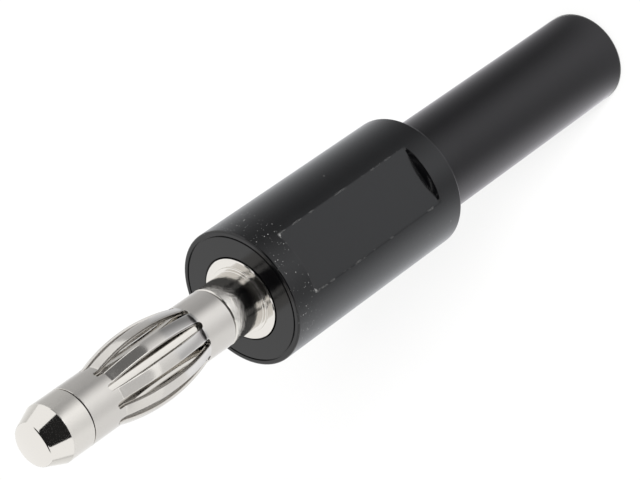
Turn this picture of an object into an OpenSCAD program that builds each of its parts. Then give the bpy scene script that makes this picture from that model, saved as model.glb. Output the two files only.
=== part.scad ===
// Banana plug: a turned pin with a lantern spring, screwed into a moulded housing.
// The plug stands on the end of its tail, with the pin pointing up along +Z.

/* [Plug head] */
// Diameter of the head and of the spring's rings
head_d = 3.9; // [3.6:0.05:4.0]
// Length of the straight part of the head
head_l = 1.75; // [1:0.05:3]
// Length of the cone in front of the head
cone_l = 1.4; // [0.8:0.05:2.5]
// Diameter of the nose where the cone ends
nose_d = 2.76; // [1.6:0.02:3.2]
// Height of the shallow dome on the nose
nose_dome = 0.15; // [0.05:0.01:0.4]

/* [Lantern spring] */
// Thickness of the rolled sheet
sheet_t = 0.3; // [0.15:0.01:0.35]
// Number of bowed leaves
leaf_count = 10; // [8:1:12]
// Width of the slots at the rings
slot_w = 0.34; // [0.2:0.01:0.5]
// How much narrower a leaf is than its root, on each side
leaf_relief = 0.02; // [0.01:0.005:0.05]
// How far the leaves bow out past the rings
bow_h = 0.55; // [0.3:0.01:0.8]
// Length of the solid ring at the head
front_ring_l = 2.0; // [1:0.05:3]
// Length of the slots between the leaves
slot_l = 8.0; // [6:0.1:12]
// Length of the solid ring at the neck
rear_ring_l = 2.2; // [1:0.05:3]
// Straight start of a leaf at the front ring, before it bows
front_straight = 0.6; // [0.2:0.05:1.2]
// Straight start of a leaf at the rear ring
rear_straight = 0.15; // [0.05:0.05:1.2]
// Width of the open seam where the rolled sheet meets
seam_w = 0.12; // [0.05:0.01:0.2]
// Turn of the slots from the middle of the grip flat, degrees
slot_turn = 7; // [-18:1:18]
// Gap between the spring and the pin's core, on the radius
spin_gap = 0.05; // [0.02:0.01:0.1]
// Gap between the spring and its stop at each end
end_gap = 0.05; // [0.02:0.01:0.2]

/* [Neck and collar] */
// How far the neck stands out past the core, on the radius
shoulder_h = 0.35; // [0.1:0.01:0.4]
// Length of the neck from the housing's face to the spring
neck_l = 2.65; // [1.5:0.05:5]
// Width of the low step where the neck meets the collar
step_w = 0.23; // [0.1:0.01:0.4]
// Height of that step over the collar
step_h = 0.12; // [0.05:0.01:0.3]
// How far the collar stands out of the housing's face
collar_proud = 0.1; // [0.05:0.01:0.3]
// How deep the collar sits in the housing
collar_depth = 1.5; // [0.8:0.1:3]
// Width of the collar's seat outside the thread
collar_rim = 0.22; // [0.15:0.01:0.5]
// Gap round the collar
collar_gap = 0.08; // [0.03:0.01:0.1]
// Bevel on the collar's front edge
collar_bevel = 0.06; // [0.02:0.01:0.15]

/* [Shank and solder cup] */
// Outside diameter of the thread
thread_d = 5.0; // [4.6:0.1:5.4]
// Length of the threaded shank
thread_l = 7; // [4:0.1:9]
// Gap round the thread
thread_gap = 0.06; // [0.03:0.01:0.1]
// Depth from the thread's crest to the solder cup
thread_h = 0.35; // [0.3:0.05:0.6]
// Length of the solder cup
cup_l = 7; // [4:0.1:9]
// Wall of the solder cup
cup_wall = 0.75; // [0.4:0.05:1]
// Depth of the wire hole in the cup
wire_depth = 6; // [3:0.1:8]
// Diameter of the hole that lets solder in
solder_hole_d = 1.2; // [0.8:0.1:1.6]
// Bevel on the cup's outer edge and on the shank's end
cup_bevel = 0.25; // [0.1:0.05:0.3]

/* [Housing] */
// Diameter of the grip
grip_d = 9.1; // [8.4:0.1:12]
// Length of the grip
grip_l = 16.2; // [14:0.1:24]
// Diameter of the tail
tail_d = 6.5; // [6.0:0.1:7.6]
// Length of the tail
tail_l = 20; // [12:0.1:30]
// Diameter of the cable bore
cable_d = 4.4; // [3.5:0.1:5]
// Gap round the solder cup
cup_gap = 0.3; // [0.2:0.05:0.4]
// Room behind the solder cup
cup_room = 0.5; // [0.2:0.1:2]
// Depth of the grip flats
flat_depth = 0.5; // [0.2:0.05:0.8]
// How far the end walls of a flat lean outwards, from its floor to the grip's surface
flat_lean = 0.15; // [0.05:0.01:0.3]
// Skin left between the flats and the front face
flat_front = 2.0; // [1:0.1:4]
// Skin left between the flats and the rear of the grip
flat_rear = 2.1; // [1:0.1:4]
// Width of the rim of the front face, outside the fine line
rim_w = 0.3; // [0.2:0.05:0.6]
// Width and depth of the fine line inside the rim
rim_line = 0.1; // [0.05:0.01:0.2]
// Rounding of the front edge
front_round = 0.12; // [0.05:0.01:0.2]
// Rounding of the grip's rear edge
rear_round = 0.15; // [0.1:0.05:0.6]
// Rounding of the tail's end
tail_round = 0.25; // [0.1:0.05:0.4]
// Bevel at the mouth of the cable bore
mouth_bevel = 0.3; // [0.1:0.05:0.4]

/* [Hidden] */
$fn = 96;
// Small overshoot that keeps cuts clear of the faces they pass through
over = 0.5;

// Diameters that follow from the sizes above
core_d = head_d - 2 * sheet_t - 2 * spin_gap;
neck_d = core_d + 2 * shoulder_h;
step_d = neck_d + 2 * step_w;
collar_d = thread_d + 2 * collar_rim;
cup_d = thread_d - 2 * thread_h;
wire_d = cup_d - 2 * cup_wall;

// Heights along the plug, from the tail's end up to the nose
grip_z = tail_l;
face_z = grip_z + grip_l;
collar_z = face_z - collar_depth;
thread_z = collar_z - thread_l;
cup_z = thread_z - cup_l;
chamber_z = cup_z - cup_room;
core_z = face_z + neck_l;
spring_z = core_z + end_gap;
rear_slot_z = spring_z + rear_ring_l;
front_slot_z = rear_slot_z + slot_l;
spring_top_z = front_slot_z + front_ring_l;
head_z = spring_top_z + end_gap;
cone_z = head_z + head_l;
nose_z = cone_z + cone_l;

// The leaves bow along an arc, given here at the middle of the sheet
bow_low_z = rear_slot_z + rear_straight;
bow_high_z = front_slot_z - front_straight;
bow_half = (bow_high_z - bow_low_z) / 2;
bow_mid_z = (bow_high_z + bow_low_z) / 2;
bow_arc_r = (bow_half * bow_half + bow_h * bow_h) / (2 * bow_h);
ring_mid_r = (head_d - sheet_t) / 2;
bow_axis_r = ring_mid_r + bow_h - bow_arc_r;
bow_angle = asin(bow_half / bow_arc_r);
// A leaf runs on into its root as far as its outer skin needs to meet the ring
bend_lap_angle = 1.5 * sheet_t / 2 * tan(bow_angle) / bow_arc_r * 180 / PI;
leaf_step = 360 / leaf_count;
leaf_w = head_d * sin(leaf_step / 2) - slot_w - 2 * leaf_relief;
first_slot = -90 + slot_turn;
// Cuts through the sheet start a little inside it and end a little outside
cut_r = head_d / 2 - 2 * sheet_t;
cut_l = 3 * sheet_t;

// Corner of a turned profile that a rounding of radius r takes away, solid to the lower left
module corner_cut(r) {
  difference() {
    translate([-r, -r]) square(r + over);
    translate([-r, -r]) circle(r);
  }
}

// Turned outside of the housing, before its holes and flats
module housing_outline() {
  rotate_extrude() difference() {
    union() {
      translate([0, grip_z]) square([grip_d / 2, grip_l]);
      square([tail_d / 2, grip_z + over]);
    }
    translate([grip_d / 2, face_z]) corner_cut(front_round);
    translate([grip_d / 2, grip_z]) mirror([0, 1]) corner_cut(rear_round);
    translate([tail_d / 2, 0]) mirror([0, 1]) corner_cut(tail_round);
    translate([grip_d / 2 - rim_w - rim_line, face_z - rim_line]) square([rim_line, rim_line + over]);
  }
}

// Cable bore, room for the solder cup, threaded hole and collar seat, from the tail upwards
module housing_bores() {
  translate([0, 0, -over]) cylinder(d = cable_d, h = chamber_z + 2 * over);
  cylinder(d1 = cable_d + 2 * mouth_bevel, d2 = cable_d, h = mouth_bevel);
  translate([0, 0, chamber_z]) cylinder(d = cup_d + 2 * cup_gap, h = thread_z - chamber_z);
  translate([0, 0, thread_z - cup_room])
    cylinder(d = thread_d + 2 * thread_gap, h = face_z - thread_z + over);
  translate([0, 0, collar_z]) cylinder(d = collar_d + 2 * collar_gap, h = collar_depth + over);
}

// One flat, cut into the grip on the -Y side, with end walls that lean outwards
module grip_flat() {
  floor_y = flat_depth - grip_d / 2;
  low_z = grip_z + flat_rear;
  high_z = face_z - flat_front;
  depth = flat_depth + over;
  lean = flat_lean * depth / flat_depth;
  mouth_y = floor_y - depth;
  translate([-grip_d / 2, 0, 0]) rotate([90, 0, 90]) linear_extrude(grip_d)
    polygon([[floor_y, low_z], [floor_y, high_z], [mouth_y, high_z + lean], [mouth_y, low_z - lean]]);
}

module housing() {
  color("#2b2b2d") difference() {
    housing_outline();
    housing_bores();
    for (turn = [0, 180]) rotate(turn) grip_flat();
  }
}

// Nose with its shallow dome, a cap cut from a large ball
module nose() {
  nose_r = nose_d / 2;
  ball_r = (nose_r * nose_r + nose_dome * nose_dome) / (2 * nose_dome);
  intersection() {
    translate([0, 0, nose_z + nose_dome - ball_r]) sphere(ball_r, $fn = 200);
    translate([0, 0, nose_z - over]) cylinder(r = nose_r, h = nose_dome + 2 * over);
  }
}

// Solder cup: the wire hole and the small hole in its side
module cup_holes() {
  translate([0, 0, cup_z - over]) cylinder(d = wire_d, h = wire_depth + over);
  translate([0, 0, cup_z + wire_depth - solder_hole_d]) rotate([90, 0, 0])
    cylinder(d = solder_hole_d, h = cup_d);
}

module contact_pin() {
  color("#d2cec8") {
    nose();
    translate([0, 0, cone_z]) cylinder(d1 = head_d, d2 = nose_d, h = cone_l);
    translate([0, 0, head_z]) cylinder(d = head_d, h = head_l);
    translate([0, 0, core_z]) cylinder(d = core_d, h = head_z - core_z);
    translate([0, 0, face_z]) cylinder(d = neck_d, h = neck_l);
    translate([0, 0, face_z]) cylinder(d = step_d, h = collar_proud + step_h);
    translate([0, 0, collar_z]) cylinder(d = collar_d, h = collar_depth + collar_proud - collar_bevel);
    translate([0, 0, face_z + collar_proud - collar_bevel])
      cylinder(d1 = collar_d, d2 = collar_d - 2 * collar_bevel, h = collar_bevel);
    translate([0, 0, thread_z + cup_bevel]) cylinder(d = thread_d, h = thread_l - cup_bevel);
    translate([0, 0, thread_z]) cylinder(d1 = thread_d - 2 * cup_bevel, d2 = thread_d, h = cup_bevel);
    difference() {
      union() {
        translate([0, 0, cup_z + cup_bevel]) cylinder(d = cup_d, h = cup_l - cup_bevel);
        translate([0, 0, cup_z]) cylinder(d1 = cup_d - 2 * cup_bevel, d2 = cup_d, h = cup_bevel);
      }
      cup_holes();
    }
  }
}

// Straight tube of the rolled sheet from one height to another
module tube(low_z, high_z) {
  translate([0, 0, low_z]) difference() {
    cylinder(d = head_d, h = high_z - low_z);
    translate([0, 0, -over]) cylinder(d = head_d - 2 * sheet_t, h = high_z - low_z + 2 * over);
  }
}

// Slots between the leaves: a straight cut with a drilled hole at each end
module slots() {
  hole_d = slot_w + 2 * leaf_relief;
  for (i = [0:leaf_count - 1]) rotate(first_slot + i * leaf_step) translate([cut_r, 0, 0]) {
    translate([0, -slot_w / 2, rear_slot_z + hole_d / 2]) cube([cut_l, slot_w, slot_l - hole_d]);
    for (end_z = [rear_slot_z + hole_d / 2, front_slot_z - hole_d / 2])
      translate([0, 0, end_z]) rotate([0, 90, 0]) cylinder(d = hole_d, h = cut_l);
  }
}

// Seam of the rolled sheet, in line with the slot on the far side
module seam() {
  rotate(first_slot + floor(leaf_count / 2) * leaf_step)
    translate([cut_r, -seam_w / 2, spring_z - over])
      cube([cut_l, seam_w, spring_top_z - spring_z + 2 * over]);
}

// Section across a leaf: the sheet keeps the curve that it was rolled to
module leaf_section() {
  translate([bow_arc_r - ring_mid_r, 0]) intersection() {
    difference() {
      circle(d = head_d);
      circle(d = head_d - 2 * sheet_t);
    }
    translate([0, -leaf_w / 2]) square([head_d, leaf_w]);
  }
}

// One leaf: its section carried along the bow
module leaf() {
  sweep = 2 * (bow_angle + bend_lap_angle);
  translate([bow_axis_r, 0, bow_mid_z]) rotate([90, 0, 0]) rotate(-sweep / 2)
    rotate_extrude(angle = sweep) leaf_section();
}

module contact_spring() {
  color("#cfc9c4") {
    difference() {
      union() {
        tube(spring_z, bow_low_z);
        tube(bow_high_z, spring_top_z);
      }
      slots();
      seam();
    }
    for (i = [0:leaf_count - 1]) rotate(first_slot + (i + 0.5) * leaf_step) leaf();
  }
}

housing();
contact_pin();
contact_spring();
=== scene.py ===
import math

import bmesh
import bpy
from mathutils import Matrix, Vector


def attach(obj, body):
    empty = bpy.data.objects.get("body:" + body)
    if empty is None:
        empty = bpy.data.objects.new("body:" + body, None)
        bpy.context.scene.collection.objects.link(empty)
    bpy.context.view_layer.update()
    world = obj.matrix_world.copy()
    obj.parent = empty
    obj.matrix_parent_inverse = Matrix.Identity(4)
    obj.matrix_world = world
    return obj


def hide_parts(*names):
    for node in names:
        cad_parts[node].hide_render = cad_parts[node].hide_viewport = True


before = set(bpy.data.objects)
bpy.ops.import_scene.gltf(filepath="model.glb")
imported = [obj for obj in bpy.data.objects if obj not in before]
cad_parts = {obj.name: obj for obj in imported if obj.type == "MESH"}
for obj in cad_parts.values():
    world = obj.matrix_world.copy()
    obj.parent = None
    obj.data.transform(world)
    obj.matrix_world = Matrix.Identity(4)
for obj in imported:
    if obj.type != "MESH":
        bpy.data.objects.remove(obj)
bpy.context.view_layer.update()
mm = 0.001  # sizes below are in millimetres


# Helpers

def linearColour(code):
    channels = [int(code[i:i + 2], 16) / 255 for i in (1, 3, 5)]
    linear = [c / 12.92 if c <= 0.04045 else ((c + 0.055) / 1.055) ** 2.4 for c in channels]
    return linear + [1.0]


def addNode(tree, kind, settings=None, inputs=None):
    node = tree.nodes.new(kind)
    for name, value in (settings or {}).items():
        setattr(node, name, value)
    for key, value in (inputs or {}).items():
        if isinstance(value, bpy.types.NodeSocket):
            tree.links.new(value, node.inputs[key])
        else:
            node.inputs[key].default_value = value
    return node


def newMaterial(name):
    material = bpy.data.materials.new(name)
    material.use_nodes = True
    shader = material.node_tree.nodes["Principled BSDF"]
    return material, material.node_tree, shader


def newObject(name, mesh):
    obj = bpy.data.objects.new(name, mesh)
    bpy.context.scene.collection.objects.link(obj)
    return obj


def bakeModifiers(obj, sharpAngle):
    graph = bpy.context.evaluated_depsgraph_get()
    mesh = bpy.data.meshes.new_from_object(obj.evaluated_get(graph), depsgraph=graph)
    obj.modifiers.clear()
    obj.data = mesh
    mesh.shade_smooth()
    mesh.set_sharp_from_angle(angle=math.radians(sharpAngle))


guard = 0.012  # beside each rounding, so that its shading stays off the long side
mergeDistance = 0.0005
nearly = 0.001  # closer than this counts as the same place


def roundCorners(corners, closed, steps=5):
    points = []
    for i, (radius, height, rounding) in enumerate(corners):
        here = Vector((radius, height))
        isEnd = not closed and i in (0, len(corners) - 1)
        if rounding == 0 or isEnd:
            points.append(here)
            continue
        before = (Vector(corners[i - 1][:2]) - here).normalized()
        after = (Vector(corners[(i + 1) % len(corners)][:2]) - here).normalized()
        half = before.angle(after) / 2
        centre = here + (before + after).normalized() * rounding / math.sin(half)
        back = rounding / math.tan(half)
        start = here + before * back - centre
        sweep = start.angle_signed(here + after * back - centre)
        points.append(here + before * (back + guard))
        for step in range(steps + 1):
            turned = start.copy()
            turned.rotate(Matrix.Rotation(-sweep * step / steps, 2))
            points.append(centre + turned)
        points.append(here + after * (back + guard))
    return points


def latheMesh(name, rings, angles, closed):
    shape = bmesh.new()
    loops = []
    for height, radiusAt in rings:
        if radiusAt(0) < 1e-6:
            loops.append([shape.verts.new((0, 0, height * mm))])
            continue
        loop = []
        for angle in angles:
            radius = radiusAt(angle) * mm
            loop.append(shape.verts.new((radius * math.cos(angle), radius * math.sin(angle), height * mm)))
        loops.append(loop)
    count = len(angles)
    for i in range(len(loops) if closed else len(loops) - 1):
        low = loops[i]
        high = loops[(i + 1) % len(loops)]
        for j in range(count):
            k = (j + 1) % count
            corners = [low[j % len(low)], low[k % len(low)], high[k % len(high)], high[j % len(high)]]
            corners = list(dict.fromkeys(corners))
            shape.faces.new(corners)
    bmesh.ops.remove_doubles(shape, verts=shape.verts, dist=mergeDistance * mm)
    bmesh.ops.recalc_face_normals(shape, faces=shape.faces)
    mesh = bpy.data.meshes.new(name)
    shape.to_mesh(mesh)
    shape.free()
    return mesh


# Materials

print("materials")

moulding = {
    "grain": 0.12,
    "grainDepth": 0.01,
    "cloud": 1.6,
    "patch": 0.8,  # of the dust and of the painted edge highlight
    "dustCell": 0.12,
    "dustZ": 35.0,  # middle of the dusty band round the grip's front
    "dustHalf": 0.8,
    "dustFade": 1.6,
    "sideRadius": 4.48,  # outside this lies the side of the grip
    "highlightZ": 29.2,  # middle of the length over which the flats' edges get a painted highlight
    "highlightHalf": 6.5,
    "highlightEdge": 0.1,
}

# A satin black with specks of dust at the grip's front and a broken pale painted highlight along the flats'
# edges
polyamide, tree, shader = newMaterial("black_polyamide")
place = addNode(tree, "ShaderNodeTexCoord").outputs["Object"]
grain = addNode(tree, "ShaderNodeTexNoise", {}, {
    "Vector": place, "Scale": 1 / (moulding["grain"] * mm), "Detail": 3.0, "Roughness": 0.6})
cloud = addNode(tree, "ShaderNodeTexNoise", {}, {
    "Vector": place, "Scale": 1 / (moulding["cloud"] * mm), "Detail": 4.0, "Roughness": 0.55})
tone = addNode(tree, "ShaderNodeMix", {"data_type": "RGBA"}, {
    "Factor": cloud.outputs["Fac"], "A": linearColour("#040405"), "B": linearColour("#080809")})
patch = addNode(tree, "ShaderNodeTexNoise", {}, {
    "Vector": place, "Scale": 1 / (moulding["patch"] * mm), "Detail": 2.0})
axes = addNode(tree, "ShaderNodeSeparateXYZ", {}, {0: place})
across = addNode(tree, "ShaderNodeVectorMath", {"operation": "MULTIPLY"}, {0: place, 1: (1, 1, 0)})
fromAxis = addNode(tree, "ShaderNodeVectorMath", {"operation": "LENGTH"}, {0: across.outputs["Vector"]})
atSurface = addNode(tree, "ShaderNodeMath", {"operation": "GREATER_THAN"}, {
    0: fromAxis.outputs["Value"], 1: moulding["sideRadius"] * mm})
fromDusty = addNode(tree, "ShaderNodeMath", {"operation": "SUBTRACT"}, {
    0: axes.outputs["Z"], 1: moulding["dustZ"] * mm})
fromDusty = addNode(tree, "ShaderNodeMath", {"operation": "ABSOLUTE"}, {0: fromDusty.outputs[0]})
nearFront = addNode(tree, "ShaderNodeMapRange", {}, {
    "Value": fromDusty.outputs[0], "From Min": moulding["dustHalf"] * mm,
    "From Max": moulding["dustFade"] * mm, "To Min": 0.62, "To Max": 0.005})
chance = addNode(tree, "ShaderNodeMath", {"operation": "MULTIPLY"}, {
    0: patch.outputs["Fac"], 1: nearFront.outputs["Result"]})
chance = addNode(tree, "ShaderNodeMath", {"operation": "MULTIPLY"}, {
    0: chance.outputs[0], 1: atSurface.outputs[0]})
cell = addNode(tree, "ShaderNodeTexVoronoi", {}, {
    "Vector": place, "Scale": 1 / (moulding["dustCell"] * mm)})
drawn = addNode(tree, "ShaderNodeSeparateColor", {}, {0: cell.outputs["Color"]})
chosen = addNode(tree, "ShaderNodeMath", {"operation": "LESS_THAN"}, {
    0: drawn.outputs["Red"], 1: chance.outputs[0]})
dotSize = addNode(tree, "ShaderNodeMath", {"operation": "MULTIPLY_ADD"}, {
    0: drawn.outputs["Green"], 1: 0.22, 2: 0.09})
inDot = addNode(tree, "ShaderNodeMath", {"operation": "LESS_THAN"}, {
    0: cell.outputs["Distance"], 1: dotSize.outputs[0]})
dust = addNode(tree, "ShaderNodeMath", {"operation": "MULTIPLY"}, {
    0: chosen.outputs[0], 1: inDot.outputs[0]})
dust = addNode(tree, "ShaderNodeMath", {"operation": "MULTIPLY"}, {
    0: dust.outputs[0], 1: drawn.outputs["Blue"]})
# Painted edge highlight: the sharp edges along the flats are lightened in pale colour, broken by noise
softNormal = addNode(tree, "ShaderNodeBevel", {"samples": 4}, {
    "Radius": moulding["highlightEdge"] * mm}).outputs["Normal"]
trueNormal = addNode(tree, "ShaderNodeNewGeometry").outputs["True Normal"]
alike = addNode(tree, "ShaderNodeVectorMath", {"operation": "DOT_PRODUCT"}, {0: softNormal, 1: trueNormal})
onEdge = addNode(tree, "ShaderNodeMapRange", {}, {
    "Value": alike.outputs["Value"], "From Min": 0.999, "From Max": 0.99, "To Min": 0.0, "To Max": 0.4})
alongFlat = addNode(tree, "ShaderNodeMath", {"operation": "COMPARE"}, {
    0: axes.outputs["Z"], 1: moulding["highlightZ"] * mm, 2: moulding["highlightHalf"] * mm})
highlightArea = addNode(tree, "ShaderNodeMath", {"operation": "MULTIPLY"}, {
    0: alongFlat.outputs[0], 1: atSurface.outputs[0]})
highlightLevel = addNode(tree, "ShaderNodeMath", {"operation": "MULTIPLY_ADD"}, {
    0: onEdge.outputs["Result"], 1: highlightArea.outputs[0], 2: patch.outputs["Fac"]})
paintedHighlight = addNode(tree, "ShaderNodeMapRange", {}, {
    "Value": highlightLevel.outputs[0], "From Min": 0.93, "From Max": 1.0, "To Min": 0.0, "To Max": 0.5})
marked = addNode(tree, "ShaderNodeMath", {"operation": "MAXIMUM"}, {
    0: dust.outputs[0], 1: paintedHighlight.outputs["Result"]})
# the pale colour holds both the dust specks and the painted edge highlight
dustAndHighlight = addNode(tree, "ShaderNodeMix", {"data_type": "RGBA"}, {
    "Factor": marked.outputs[0], "A": tone.outputs["Result"], "B": linearColour("#9a9a98")})
sheen = addNode(tree, "ShaderNodeMapRange", {}, {
    "Value": cloud.outputs["Fac"], "From Min": 0.3, "From Max": 0.7, "To Min": 0.12, "To Max": 0.18})
bump = addNode(tree, "ShaderNodeBump", {}, {
    "Strength": 0.1, "Distance": moulding["grainDepth"] * mm, "Height": grain.outputs["Fac"]})
shader.inputs["IOR"].default_value = 1.45
tree.links.new(dustAndHighlight.outputs["Result"], shader.inputs["Base Color"])
tree.links.new(sheen.outputs["Result"], shader.inputs["Roughness"])
tree.links.new(bump.outputs["Normal"], shader.inputs["Normal"])

turnedPlate = {
    "feed": 0.06,  # between the turning marks
    "feedDepth": 0.004,
    "neckZ": 37.65,  # middle of the neck, which has a rougher grain
    "neckHalf": 1.2,
    "neckGrain": 0.2,  # drawn coarser than the real grain, which would only blur
    "neckDepth": 0.012,
}

nickelPin, tree, shader = newMaterial("nickel_plated_brass")  # bright plate over turning marks
place = addNode(tree, "ShaderNodeTexCoord").outputs["Object"]
stretched = addNode(tree, "ShaderNodeMapping", {}, {"Vector": place, "Scale": (0.04, 0.04, 1.0)})
turning = addNode(tree, "ShaderNodeTexNoise", {}, {
    "Vector": stretched.outputs["Vector"], "Scale": 1 / (turnedPlate["feed"] * mm), "Detail": 2.0})
peel = addNode(tree, "ShaderNodeTexNoise", {}, {
    "Vector": place, "Scale": 1 / (turnedPlate["neckGrain"] * mm), "Detail": 3.0, "Roughness": 0.7})
axes = addNode(tree, "ShaderNodeSeparateXYZ", {}, {0: place})
onNeck = addNode(tree, "ShaderNodeMath", {"operation": "COMPARE"}, {
    0: axes.outputs["Z"], 1: turnedPlate["neckZ"] * mm, 2: turnedPlate["neckHalf"] * mm})
turned = addNode(tree, "ShaderNodeBump", {}, {
    "Strength": 0.06, "Distance": turnedPlate["feedDepth"] * mm, "Height": turning.outputs["Fac"]})
bump = addNode(tree, "ShaderNodeBump", {}, {
    "Strength": onNeck.outputs[0], "Distance": turnedPlate["neckDepth"] * mm,
    "Height": peel.outputs["Fac"], "Normal": turned.outputs["Normal"]})
shader.inputs["Base Color"].default_value = linearColour("#d3d0cb")
shader.inputs["Metallic"].default_value = 1.0
shader.inputs["Roughness"].default_value = 0.1
tree.links.new(bump.outputs["Normal"], shader.inputs["Normal"])

rolledPlate = {"grain": 0.14, "grainDepth": 0.004, "wipe": 0.9}

nickelSheet, tree, shader = newMaterial("nickel_plated_bronze")  # rolled sheet, a little duller
place = addNode(tree, "ShaderNodeTexCoord").outputs["Object"]
peel = addNode(tree, "ShaderNodeTexNoise", {}, {
    "Vector": place, "Scale": 1 / (rolledPlate["grain"] * mm), "Detail": 3.0, "Roughness": 0.6})
wipe = addNode(tree, "ShaderNodeTexNoise", {}, {
    "Vector": place, "Scale": 1 / (rolledPlate["wipe"] * mm), "Detail": 3.0})
sheen = addNode(tree, "ShaderNodeMapRange", {}, {
    "Value": wipe.outputs["Fac"], "From Min": 0.3, "From Max": 0.7, "To Min": 0.09, "To Max": 0.15})
bump = addNode(tree, "ShaderNodeBump", {}, {
    "Strength": 0.06, "Distance": rolledPlate["grainDepth"] * mm, "Height": peel.outputs["Fac"]})
shader.inputs["Base Color"].default_value = linearColour("#c8c5c1")
shader.inputs["Metallic"].default_value = 1.0
tree.links.new(sheen.outputs["Result"], shader.inputs["Roughness"])
tree.links.new(bump.outputs["Normal"], shader.inputs["Normal"])


# Housing

print("housing")

housing = {
    "gripRadius": 4.55,
    "tailRadius": 3.25,
    "gripZ": 20.0,
    "faceZ": 36.2,
    "flatY": 4.05,  # plane of the two flats, from the axis
    "flatLowZ": 22.1,
    "flatHighZ": 34.2,
    "flatLean": 0.15,  # of the flats' end walls, over their depth
    "flatGuard": 0.1,  # beside each end wall, so that its shading stays off flat and grip
    "rim": 0.3,
    "line": 0.1,  # fine line inside the rim
    "cableRadius": 2.2,
    "chamberRadius": 2.45,
    "threadRadius": 2.56,
    "seatRadius": 2.8,
    "chamberZ": 20.2,
    "threadZ": 27.2,
    "seatZ": 34.7,
    "mouthBevel": 0.3,
    "edge": 0.035,  # small rounding of each outer edge that turns by more than edgeAngle
    "edgeAngle": 22,
    "segments": 256,
}

lineOuter = housing["gripRadius"] - housing["rim"]
lineInner = lineOuter - housing["line"]
lineZ = housing["faceZ"] - housing["line"]
housingCorners = [
    (housing["cableRadius"], housing["mouthBevel"], 0),
    (housing["cableRadius"] + housing["mouthBevel"], 0.0, 0.03),
    (housing["tailRadius"], 0.0, 0.25),
    (housing["tailRadius"], housing["gripZ"], 0.06),
    (housing["gripRadius"], housing["gripZ"], 0.15),
    (housing["gripRadius"], housing["flatLowZ"], 0),
    (housing["gripRadius"], housing["flatHighZ"], 0),
    (housing["gripRadius"], housing["faceZ"], 0.12),
    (lineOuter, housing["faceZ"], 0.02),
    (lineOuter, lineZ, 0),
    (lineInner, lineZ, 0),
    (lineInner, housing["faceZ"], 0.02),
    (housing["seatRadius"], housing["faceZ"], 0.05),
    (housing["seatRadius"], housing["seatZ"], 0),
    (housing["threadRadius"], housing["seatZ"], 0.03),
    (housing["threadRadius"], housing["threadZ"], 0),
    (housing["chamberRadius"], housing["threadZ"], 0.03),
    (housing["chamberRadius"], housing["chamberZ"], 0),
    (housing["cableRadius"], housing["chamberZ"], 0),
]

flatCorner = math.asin(housing["flatY"] / housing["gripRadius"])
cornerAngles = [flatCorner, math.pi - flatCorner, math.pi + flatCorner, 2 * math.pi - flatCorner]
angles = [2 * math.pi * i / housing["segments"] for i in range(housing["segments"])]
clearOfCorner = 0.008  # radians
angles = [a for a in angles if min(abs(a - c) for c in cornerAngles) > clearOfCorner]
angles = sorted(angles + cornerAngles)


def flatRadius(angle):
    reach = abs(math.sin(angle)) * housing["gripRadius"]
    return housing["gripRadius"] * min(1.0, housing["flatY"] / max(reach, 1e-9))


rings = []
for point in roundCorners(housingCorners, True):
    plain = (point.y, lambda angle, radius=point.x: radius)
    onGrip = point.x > housing["gripRadius"] - nearly
    inward = 0  # the way along the plug from an end of the flat to its middle
    if onGrip and abs(point.y - housing["flatLowZ"]) < nearly:
        inward = 1
    elif onGrip and abs(point.y - housing["flatHighZ"]) < nearly:
        inward = -1
    if inward == 0:
        rings.append(plain)
        continue
    endRings = [
        (point.y, flatRadius),
        (point.y + inward * housing["flatGuard"], flatRadius),
        (point.y - inward * housing["flatLean"], plain[1]),
        (point.y - inward * (housing["flatLean"] + housing["flatGuard"]), plain[1]),
    ]
    rings += sorted(endRings, key=lambda ring: ring[0])

housingBody = newObject("housing_moulding", latheMesh("housing_moulding", rings, angles, True))
housingBody.data.materials.append(polyamide)
shape = bmesh.new()
shape.from_mesh(housingBody.data)
weight = shape.edges.layers.float.new("bevel_weight_edge")
for edge in shape.edges:  # outer edges only, inner corners stay sharp
    edge[weight] = float(edge.calc_face_angle_signed(0) > math.radians(housing["edgeAngle"]))
shape.to_mesh(housingBody.data)
shape.free()
edges = housingBody.modifiers.new("edges", "BEVEL")
edges.width = housing["edge"] * mm
edges.segments = 2
edges.limit_method = "WEIGHT"
edges.use_clamp_overlap = True
bakeModifiers(housingBody, sharpAngle=32)
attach(housingBody, "housing")
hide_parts("housing")


# Contact pin

print("contact pin")

pin = {
    "wireRadius": 1.4,
    "wireTopZ": 26.7,
    "cupRadius": 2.15,
    "cupZ": 20.7,
    "cupBevel": 0.25,
    "solderZ": 25.5,  # hole in the cup's side
    "solderRadius": 0.6,
    "solderTurn": 3,  # of the drill, which keeps its corners off the pin's
    "threadZ": 27.7,
    "threadRadius": 2.5,
    "threadDepth": 0.27,
    "threadStart": 0.35,  # from the shank's end to the ridge's middle
    "threadRunout": 0.45,  # from the ridge's middle to the collar
    "pitch": 0.5,
    "collarRadius": 2.72,
    "collarZ": 34.7,
    "collarTopZ": 36.3,
    "collarBevel": 0.06,
    "stepRadius": 2.18,
    "stepTopZ": 36.42,
    "neckRadius": 1.95,
    "neckTopZ": 38.85,
    "coreRadius": 1.6,
    "headRadius": 1.95,
    "headZ": 51.15,
    "coneZ": 52.9,
    "noseRadius": 1.38,
    "noseZ": 54.3,
    "dome": 0.15,
    "segments": 224,
}

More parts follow.
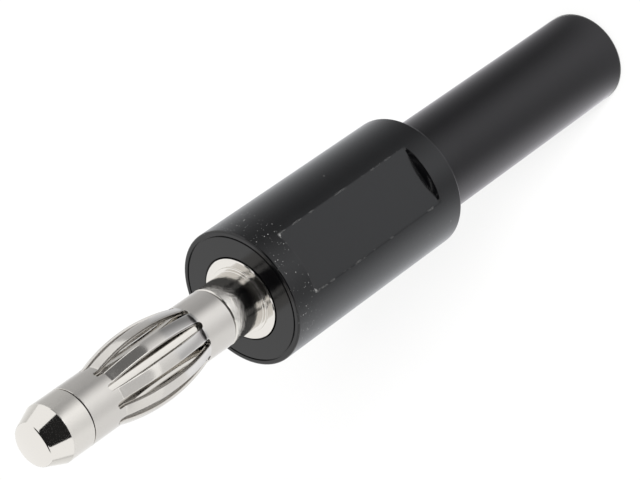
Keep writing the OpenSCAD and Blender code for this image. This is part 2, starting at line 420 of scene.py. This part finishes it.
rootRadius = pin["threadRadius"] - pin["threadDepth"]
pinCorners = [
    (0, pin["wireTopZ"], 0),
    (pin["wireRadius"], pin["wireTopZ"], 0),
    (pin["wireRadius"], pin["cupZ"], 0.04),
    (pin["cupRadius"] - pin["cupBevel"], pin["cupZ"], 0.03),
    (pin["cupRadius"], pin["cupZ"] + pin["cupBevel"], 0.03),
    (pin["cupRadius"], pin["threadZ"], 0),
    (rootRadius, pin["threadZ"], 0.02),
    (rootRadius, pin["collarZ"], 0),
    (pin["collarRadius"], pin["collarZ"], 0.05),
    (pin["collarRadius"], pin["collarTopZ"] - pin["collarBevel"], 0.02),
    (pin["collarRadius"] - pin["collarBevel"], pin["collarTopZ"], 0.02),
    (pin["stepRadius"], pin["collarTopZ"], 0.02),
    (pin["stepRadius"], pin["stepTopZ"], 0.04),
    (pin["neckRadius"], pin["stepTopZ"], 0.03),
    (pin["neckRadius"], pin["neckTopZ"], 0.12),
    (pin["coreRadius"], pin["neckTopZ"], 0.02),
    (pin["coreRadius"], pin["headZ"], 0.02),
    (pin["headRadius"], pin["headZ"], 0.06),
    (pin["headRadius"], pin["coneZ"], 0.1),
    (pin["noseRadius"], pin["noseZ"], 0.3),
]
ballRadius = (pin["noseRadius"] ** 2 + pin["dome"] ** 2) / (2 * pin["dome"])
domeSteps = 6
for i in range(1, domeSteps + 1):
    radius = pin["noseRadius"] * (1 - i / domeSteps)
    fall = ballRadius - math.sqrt(ballRadius ** 2 - radius ** 2)
    pinCorners.append((radius, pin["noseZ"] + pin["dome"] - fall, 0))

angles = [2 * math.pi * i / pin["segments"] for i in range(pin["segments"])]
rings = [(p.y, lambda angle, radius=p.x: radius) for p in roundCorners(pinCorners, False)]
pinBody = newObject("pin_turned", latheMesh("pin_turned", rings, angles, False))
pinBody.data.materials.append(nickelPin)

drillShape = bmesh.new()
drillRadius = pin["solderRadius"] * mm
drillLength = 4 * mm  # through one side of the cup
drillPlace = Matrix.Translation((0, -drillLength / 2, pin["solderZ"] * mm))
drillPlace = drillPlace @ Matrix.Rotation(math.pi / 2, 4, "X")
drillPlace = drillPlace @ Matrix.Rotation(math.radians(pin["solderTurn"]), 4, "Z")
bmesh.ops.create_cone(
    drillShape, cap_ends=True, segments=48, radius1=drillRadius, radius2=drillRadius,
    depth=drillLength, matrix=drillPlace)
drillMesh = bpy.data.meshes.new("solder_drill")
drillShape.to_mesh(drillMesh)
drillShape.free()
drill = newObject("solder_drill", drillMesh)
hole = pinBody.modifiers.new("solder hole", "BOOLEAN")
hole.operation = "DIFFERENCE"
hole.solver = "EXACT"
hole.object = drill
bakeModifiers(pinBody, sharpAngle=32)
bpy.data.objects.remove(drill)
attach(pinBody, "contact_pin")
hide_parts("contact_pin")


# Thread on the pin's shank, a ridge wound round it by Geometry Nodes

print("thread")

tree = bpy.data.node_groups.new("screwRidge", "GeometryNodeTree")
ridgeSockets = {}
for name in ("turns", "radius", "rise", "ridge", "start"):
    ridgeSockets[name] = tree.interface.new_socket(name, in_out="INPUT", socket_type="NodeSocketFloat")
tree.interface.new_socket("mesh", in_out="OUTPUT", socket_type="NodeSocketGeometry")
given = addNode(tree, "NodeGroupInput").outputs
helix = addNode(tree, "GeometryNodeCurveSpiral", {}, {
    "Resolution": 64, "Rotations": given["turns"], "Start Radius": given["radius"],
    "End Radius": given["radius"], "Height": given["rise"]})
zUp = addNode(tree, "GeometryNodeSetCurveNormal", {"mode": "Z_UP"}, {"Curve": helix.outputs[0]})
vee = addNode(tree, "GeometryNodeCurvePrimitiveCircle", {"mode": "RADIUS"}, {
    "Resolution": 4, "Radius": given["ridge"]})
swept = addNode(tree, "GeometryNodeCurveToMesh", {}, {
    "Curve": zUp.outputs[0], "Profile Curve": vee.outputs["Curve"], "Fill Caps": True})
lift = addNode(tree, "ShaderNodeCombineXYZ", {}, {"Z": given["start"]})
placed = addNode(tree, "GeometryNodeTransform", {}, {
    "Geometry": swept.outputs["Mesh"], "Translation": lift.outputs["Vector"]})
real = addNode(tree, "GeometryNodeRealizeInstances", {}, {"Geometry": placed.outputs["Geometry"]})
coated = addNode(tree, "GeometryNodeSetMaterial", {}, {
    "Geometry": real.outputs["Geometry"], "Material": nickelPin})
addNode(tree, "NodeGroupOutput", {}, {"mesh": coated.outputs["Geometry"]})

threadLow = pin["threadZ"] + pin["threadStart"]
threadHigh = pin["collarZ"] - pin["threadRunout"]
ridgeValues = {
    "turns": (threadHigh - threadLow) / pin["pitch"],
    "radius": rootRadius * mm,
    "rise": (threadHigh - threadLow) * mm,
    "ridge": pin["threadDepth"] * mm,
    "start": threadLow * mm,
}
thread = newObject("shank_thread", bpy.data.meshes.new("shank_thread"))
winding = thread.modifiers.new("winding", "NODES")
winding.node_group = tree
for name, value in ridgeValues.items():
    winding[ridgeSockets[name].identifier] = value
bakeModifiers(thread, sharpAngle=20)
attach(thread, "contact_pin")


# Lantern spring, one punched and rolled sheet shaped by Geometry Nodes

print("lantern spring")

lantern = {
    "leafCount": 10,
    "ringRadius": 1.8,  # at the middle of the sheet
    "sheet": 0.3,
    "slotWidth": 0.38,
    "slotLength": 8.0,
    "rearRing": 2.2,
    "frontRing": 2.0,
    "bowHeight": 0.55,
    "bowStart": 2.35,  # from the rear edge
    "bowEnd": 9.6,
    "bend": 0.06,  # softness of the bends where the bow starts and ends
    "startZ": 38.9,
    "turn": -83.0,  # slot nearest the middle of the flat, degrees
    "seam": 0.12,
    "edge": 0.055,  # rounded off the punched edges
    "edgeAngle": 50,
    "columns": 9,
    "rows": 306,
}

tree = bpy.data.node_groups.new("lanternSheet", "GeometryNodeTree")
floatNames = ("ringRadius", "slotWidth", "slotLength", "rearRing", "length", "bowHeight", "bowMiddle",
              "bowRadius", "bend", "startZ", "leafAngle", "firstAngle")
sheetSockets = {}
for name in floatNames:
    sheetSockets[name] = tree.interface.new_socket(name, in_out="INPUT", socket_type="NodeSocketFloat")
for name in ("leafCount", "columns", "rows"):
    sheetSockets[name] = tree.interface.new_socket(name, in_out="INPUT", socket_type="NodeSocketInt")
tree.interface.new_socket("mesh", in_out="OUTPUT", socket_type="NodeSocketGeometry")
given = addNode(tree, "NodeGroupInput").outputs
blank = addNode(tree, "GeometryNodeMeshGrid", {}, {
    "Size X": 2.0, "Size Y": 1.0, "Vertices X": given["columns"], "Vertices Y": given["rows"]})
flat = addNode(tree, "ShaderNodeSeparateXYZ", {}, {
    0: addNode(tree, "GeometryNodeInputPosition").outputs[0]})
halfLength = addNode(tree, "ShaderNodeMath", {"operation": "MULTIPLY"}, {
    0: given["length"], 1: 0.5}).outputs[0]
along = addNode(tree, "ShaderNodeMath", {"operation": "MULTIPLY_ADD"}, {
    0: flat.outputs["Y"], 1: given["length"], 2: halfLength}).outputs[0]
# Half of the slot's width at each height: straight sides and round ends
fromRear = addNode(tree, "ShaderNodeMath", {"operation": "SUBTRACT"}, {
    0: along, 1: given["rearRing"]}).outputs[0]
fromFront = addNode(tree, "ShaderNodeMath", {"operation": "SUBTRACT"}, {
    0: given["slotLength"], 1: fromRear}).outputs[0]
inside = addNode(tree, "ShaderNodeMath", {"operation": "MINIMUM"}, {0: fromRear, 1: fromFront}).outputs[0]
slotHalf = addNode(tree, "ShaderNodeMath", {"operation": "MULTIPLY"}, {
    0: given["slotWidth"], 1: 0.5}).outputs[0]
short = addNode(tree, "ShaderNodeMath", {"operation": "SUBTRACT"}, {0: slotHalf, 1: inside}).outputs[0]
short = addNode(tree, "ShaderNodeMath", {"operation": "MAXIMUM"}, {0: short, 1: 0.0}).outputs[0]
short = addNode(tree, "ShaderNodeMath", {"operation": "MINIMUM"}, {0: short, 1: slotHalf}).outputs[0]
shortSquare = addNode(tree, "ShaderNodeMath", {"operation": "MULTIPLY"}, {0: short, 1: short}).outputs[0]
halfSquare = addNode(tree, "ShaderNodeMath", {"operation": "MULTIPLY"}, {
    0: slotHalf, 1: slotHalf}).outputs[0]
openSquare = addNode(tree, "ShaderNodeMath", {"operation": "SUBTRACT"}, {
    0: halfSquare, 1: shortSquare}).outputs[0]
opening = addNode(tree, "ShaderNodeMath", {"operation": "SQRT"}, {0: openSquare}).outputs[0]
openAngle = addNode(tree, "ShaderNodeMath", {"operation": "DIVIDE"}, {
    0: opening, 1: given["ringRadius"]}).outputs[0]
halfAngle = addNode(tree, "ShaderNodeMath", {"operation": "MULTIPLY"}, {
    0: given["leafAngle"], 1: 0.5}).outputs[0]
halfAngle = addNode(tree, "ShaderNodeMath", {"operation": "SUBTRACT"}, {
    0: halfAngle, 1: openAngle}).outputs[0]
turn = addNode(tree, "ShaderNodeMath", {"operation": "MULTIPLY"}, {
    0: flat.outputs["X"], 1: halfAngle}).outputs[0]
# The bow, an arc that stands out between its two bends
offMiddle = addNode(tree, "ShaderNodeMath", {"operation": "SUBTRACT"}, {
    0: along, 1: given["bowMiddle"]}).outputs[0]
offSquare = addNode(tree, "ShaderNodeMath", {"operation": "MULTIPLY"}, {
    0: offMiddle, 1: offMiddle}).outputs[0]
radiusSquare = addNode(tree, "ShaderNodeMath", {"operation": "MULTIPLY"}, {
    0: given["bowRadius"], 1: given["bowRadius"]}).outputs[0]
arcSquare = addNode(tree, "ShaderNodeMath", {"operation": "SUBTRACT"}, {
    0: radiusSquare, 1: offSquare}).outputs[0]
arc = addNode(tree, "ShaderNodeMath", {"operation": "SQRT"}, {0: arcSquare}).outputs[0]
sunk = addNode(tree, "ShaderNodeMath", {"operation": "SUBTRACT"}, {
    0: given["bowRadius"], 1: given["bowHeight"]}).outputs[0]
bow = addNode(tree, "ShaderNodeMath", {"operation": "SUBTRACT"}, {0: arc, 1: sunk}).outputs[0]
bow = addNode(tree, "ShaderNodeMath", {"operation": "SMOOTH_MAX"}, {
    0: bow, 1: 0.0, 2: given["bend"]}).outputs[0]
cosine = addNode(tree, "ShaderNodeMath", {"operation": "COSINE"}, {0: turn}).outputs[0]
sine = addNode(tree, "ShaderNodeMath", {"operation": "SINE"}, {0: turn}).outputs[0]
outward = addNode(tree, "ShaderNodeMath", {"operation": "MULTIPLY_ADD"}, {
    0: cosine, 1: given["ringRadius"], 2: bow}).outputs[0]
sideways = addNode(tree, "ShaderNodeMath", {"operation": "MULTIPLY"}, {
    0: sine, 1: given["ringRadius"]}).outputs[0]
upward = addNode(tree, "ShaderNodeMath", {"operation": "ADD"}, {0: along, 1: given["startZ"]}).outputs[0]
rolled = addNode(tree, "ShaderNodeCombineXYZ", {}, {"X": outward, "Y": sideways, "Z": upward})
leaf = addNode(tree, "GeometryNodeSetPosition", {}, {
    "Geometry": blank.outputs["Mesh"], "Position": rolled.outputs["Vector"]})
seats = addNode(tree, "GeometryNodePoints", {}, {"Count": given["leafCount"]})
index = addNode(tree, "GeometryNodeInputIndex").outputs[0]
spin = addNode(tree, "ShaderNodeMath", {"operation": "MULTIPLY_ADD"}, {
    0: index, 1: given["leafAngle"], 2: given["firstAngle"]}).outputs[0]
spinVector = addNode(tree, "ShaderNodeCombineXYZ", {}, {"Z": spin})
spinTurn = addNode(tree, "FunctionNodeEulerToRotation", {}, {0: spinVector.outputs["Vector"]})
leaves = addNode(tree, "GeometryNodeInstanceOnPoints", {}, {
    "Points": seats.outputs[0], "Instance": leaf.outputs["Geometry"], "Rotation": spinTurn.outputs[0]})
real = addNode(tree, "GeometryNodeRealizeInstances", {}, {"Geometry": leaves.outputs["Instances"]})
joined = addNode(tree, "GeometryNodeMergeByDistance", {}, {
    "Geometry": real.outputs["Geometry"], "Distance": 0.002 * mm})
coated = addNode(tree, "GeometryNodeSetMaterial", {}, {
    "Geometry": joined.outputs["Geometry"], "Material": nickelSheet})
addNode(tree, "NodeGroupOutput", {}, {"mesh": coated.outputs["Geometry"]})

seamAngle = lantern["seam"] / lantern["ringRadius"]
leafAngle = (2 * math.pi - seamAngle) / lantern["leafCount"]
bowHalf = (lantern["bowEnd"] - lantern["bowStart"]) / 2
sheetValues = {
    "ringRadius": lantern["ringRadius"] * mm,
    "slotWidth": lantern["slotWidth"] * mm,
    "slotLength": lantern["slotLength"] * mm,
    "rearRing": lantern["rearRing"] * mm,
    "length": (lantern["rearRing"] + lantern["slotLength"] + lantern["frontRing"]) * mm,
    "bowHeight": lantern["bowHeight"] * mm,
    "bowMiddle": (lantern["bowStart"] + lantern["bowEnd"]) / 2 * mm,
    "bowRadius": (bowHalf ** 2 + lantern["bowHeight"] ** 2) / (2 * lantern["bowHeight"]) * mm,
    "bend": lantern["bend"] * mm,
    "startZ": lantern["startZ"] * mm,
    "leafAngle": leafAngle,
    "firstAngle": math.radians(lantern["turn"]) - (lantern["leafCount"] - 1) / 2 * leafAngle,
    "leafCount": lantern["leafCount"],
    "columns": lantern["columns"],
    "rows": lantern["rows"],
}
spring = newObject("lantern_spring", bpy.data.meshes.new("lantern_spring"))
shaping = spring.modifiers.new("shaping", "NODES")
shaping.node_group = tree
for name, value in sheetValues.items():
    shaping[sheetSockets[name].identifier] = value
thickness = spring.modifiers.new("thickness", "SOLIDIFY")
thickness.thickness = lantern["sheet"] * mm
thickness.offset = 0
edges = spring.modifiers.new("edges", "BEVEL")
edges.width = lantern["edge"] * mm
edges.segments = 2
edges.limit_method = "ANGLE"
edges.angle_limit = math.radians(lantern["edgeAngle"])
bakeModifiers(spring, sharpAngle=40)
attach(spring, "contact_spring")
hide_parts("contact_spring")


# Stage: pale floor, white surroundings, soft lamps, and cards that only the gloss mirrors

print("stage")

paper, tree, shader = newMaterial("white_paper")  # plain floor, white to the eye with a faint shadow
shader.inputs["Base Color"].default_value = linearColour("#f6f6f5")
shader.inputs["Roughness"].default_value = 0.9
shader.inputs["Specular IOR Level"].default_value = 0.0
glow = addNode(tree, "ShaderNodeEmission", {}, {"Color": (1, 1, 1, 1), "Strength": 1.0})
rays = addNode(tree, "ShaderNodeLightPath")
share = addNode(tree, "ShaderNodeMath", {"operation": "MULTIPLY"}, {
    0: rays.outputs["Is Camera Ray"], 1: 0.7})
blend = addNode(tree, "ShaderNodeMixShader", {}, {
    0: share.outputs[0], 1: shader.outputs["BSDF"], 2: glow.outputs["Emission"]})
tree.links.new(blend.outputs["Shader"], tree.nodes["Material Output"].inputs["Surface"])


def panel(name, corners, material):
    mesh = bpy.data.meshes.new(name)
    mesh.from_pydata([Vector(c) * mm for c in corners], [], [tuple(range(len(corners)))])
    mesh.materials.append(material)
    obj = newObject(name, mesh)
    return obj


stage = {
    "floorReach": 400,
    "pinZ": 48,  # height on the pin from which the hoods are set out
    "lampAimZ": 35,
    "ringLift": 0.1,  # of the table rings over the floor
    "brightest": 1.5,  # level that a table ring's colour of 1 stands for
}

reach = stage["floorReach"]
panel("floor", [(-reach, -reach, 0), (reach, -reach, 0), (reach, reach, 0), (-reach, reach, 0)], paper)

world = bpy.data.worlds.new("studio")  # white to the camera, brighter in the gloss than in plain light
bpy.context.scene.world = world
world.use_nodes = True
tree = world.node_tree
background = tree.nodes["Background"]
rays = addNode(tree, "ShaderNodeLightPath")
unseen = addNode(tree, "ShaderNodeMix", {"data_type": "FLOAT"}, {
    0: rays.outputs["Is Glossy Ray"], 2: 0.75, 3: 1.25})
level = addNode(tree, "ShaderNodeMix", {"data_type": "FLOAT"}, {
    0: rays.outputs["Is Camera Ray"], 2: unseen.outputs[0], 3: 1.0})
background.inputs["Color"].default_value = (1, 1, 1, 1)
tree.links.new(level.outputs[0], background.inputs["Strength"])


def cardPaint(name, level):
    material, tree = newMaterial(name)[:2]
    glow = addNode(tree, "ShaderNodeEmission", {}, {"Color": (1, 1, 1, 1), "Strength": level})
    tree.links.new(glow.outputs["Emission"], tree.nodes["Material Output"].inputs["Surface"])
    return material


blackCard = cardPaint("black_card", 0.02)  # what bright metal mirrors as black
darkCard = cardPaint("dark_card", 0.22)  # what it mirrors as dark grey
paleCard = cardPaint("pale_card", 0.82)  # what it mirrors as pale grey


def seenFromPin(azimuth, elevation, distance):
    a = math.radians(azimuth)
    e = math.radians(elevation)
    toCorner = Vector((math.cos(e) * math.sin(a), -math.cos(e) * math.cos(a), math.sin(e)))
    return toCorner * distance + Vector((0, 0, stage["pinZ"]))


def standing(firstAzimuth, lastAzimuth, distance, low, high):
    foot = []
    for azimuth in (firstAzimuth, lastAzimuth):
        a = math.radians(azimuth)
        foot.append((distance * math.sin(a), -distance * math.cos(a)))
    first, last = foot
    return [(*first, low), (*last, low), (*last, high), (*first, high)]


hoodCorners = [seenFromPin(a, e, 300) for a, e in ((-46, 3), (42, 3), (40, 50), (-44, 50))]
wideCorners = [seenFromPin(a, e, 310) for a, e in ((-75, 24), (72, 24), (72, 88), (-75, 88))]
cards = [
    panel("camera_hood", hoodCorners, blackCard),
    panel("wide_hood", wideCorners, blackCard),
    panel("leaf_card", standing(18, 68, 80, 7, 47), darkCard),
    panel("leaf_low_card", standing(-52, -2, 80, 16, 47), paleCard),
]

# Light that the sides mirror from the table: pale and dark parts by azimuth, from -Y towards +X
tableRings = [
    {"name": "tail_ring", "inner": 3.4, "outer": 24, "tint": (1.0, 0.985, 1.03), "levels": [
        (-180, 0.75), (-88, 1.28), (-39, 0.7), (8, 1.04), (66, 0.34), (150, 0.88), (180, 0.75)]},
    {"name": "grip_ring", "inner": 24, "outer": 51, "tint": (0.985, 1.0, 1.03), "levels": [
        (-180, 0.75), (-88, 1.28), (-39, 0.7), (1, 1.2), (66, 0.34), (150, 0.88), (180, 0.75)]},
    {"name": "pin_ring", "inner": 51, "outer": 88, "tint": (1.0, 1.0, 1.0), "levels": [
        (-180, 1.03), (-70, 1.08), (-39, 0.95), (18, 1.26), (62, 0.55), (120, 0.65), (180, 1.03)]},
]
for ring in tableRings:
    material = bpy.data.materials.new(ring["name"])
    material.use_nodes = True
    tree = material.node_tree
    place = addNode(tree, "ShaderNodeTexCoord").outputs["Object"]
    facing = addNode(tree, "ShaderNodeMapping", {}, {"Vector": place, "Rotation": (0, 0, math.pi / 2)})
    radial = addNode(tree, "ShaderNodeTexGradient", {"gradient_type": "RADIAL"}, {
        "Vector": facing.outputs["Vector"]})
    ramp = addNode(tree, "ShaderNodeValToRGB", {}, {"Fac": radial.outputs["Fac"]})
    ramp.color_ramp.interpolation = "EASE"
    stops = ramp.color_ramp.elements
    while len(stops) < len(ring["levels"]):
        stops.new(0.5)
    for stop, (azimuth, level) in zip(stops, ring["levels"]):
        stop.position = azimuth / 360 + 0.5
        stop.color = [level / stage["brightest"] * t for t in ring["tint"]] + [1]
    glow = addNode(tree, "ShaderNodeEmission", {}, {
        "Color": ramp.outputs["Color"], "Strength": stage["brightest"]})
    tree.links.new(glow.outputs["Emission"], tree.nodes["Material Output"].inputs["Surface"])
    shape = bmesh.new()
    bmesh.ops.create_circle(shape, segments=72, radius=ring["inner"] * mm)
    grown = bmesh.ops.extrude_edge_only(shape, edges=shape.edges)["geom"]
    for vert in grown:
        if isinstance(vert, bmesh.types.BMVert):
            vert.co *= ring["outer"] / ring["inner"]
    bmesh.ops.translate(shape, verts=shape.verts, vec=(0, 0, stage["ringLift"] * mm))
    mesh = bpy.data.meshes.new(ring["name"])
    shape.to_mesh(mesh)
    shape.free()
    mesh.materials.append(material)
    card = newObject(ring["name"], mesh)
    cards.append(card)

for card in cards:
    card.visible_camera = False
    card.visible_diffuse = False
    card.visible_shadow = False

lamps = [
    {"name": "key_softbox", "from": (0.18, -0.72, 0.67), "distance": 400, "size": 90, "radiance": 55},
    {"name": "side_softbox", "from": (-0.835, 0.323, 0.445), "distance": 260, "size": 300, "radiance": 0.3},
    {"name": "top_softbox", "from": (0.25, 0.55, 0.8), "distance": 320, "size": 220, "radiance": 0.3},
]
for lamp in lamps:
    light = bpy.data.lights.new(lamp["name"], "AREA")
    light.size = lamp["size"] * mm
    light.energy = lamp["radiance"] * math.pi * light.size ** 2
    lightObject = newObject(lamp["name"], light)
    toLamp = Vector(lamp["from"]).normalized()
    lightObject.location = (toLamp * lamp["distance"] + Vector((0, 0, stage["lampAimZ"]))) * mm
    lightObject.rotation_euler = toLamp.to_track_quat("Z", "Y").to_euler()
    lightObject.visible_camera = False
    lightObject.visible_glossy = False


# Camera, fitted to the edges and rims of the photographed plug

print("camera")

eye = Vector((7.374, -133.723, 139.107)) * mm
aim = Vector((0.132, 0.007, 28.478)) * mm
rollAngle = math.radians(125.245)
lens = bpy.data.cameras.new("camera")
lens.lens = 157.44
lens.sensor_width = 36
lens.sensor_fit = "HORIZONTAL"
lens.clip_start = 1 * mm
lens.clip_end = 10
camera = newObject("camera", lens)
sight = (aim - eye).to_track_quat("-Z", "Y").to_matrix().to_4x4()
camera.matrix_world = Matrix.Translation(eye) @ sight @ Matrix.Rotation(-rollAngle, 4, "Z")
scene = bpy.context.scene
scene.camera = camera
scene.view_settings.view_transform = "Standard"
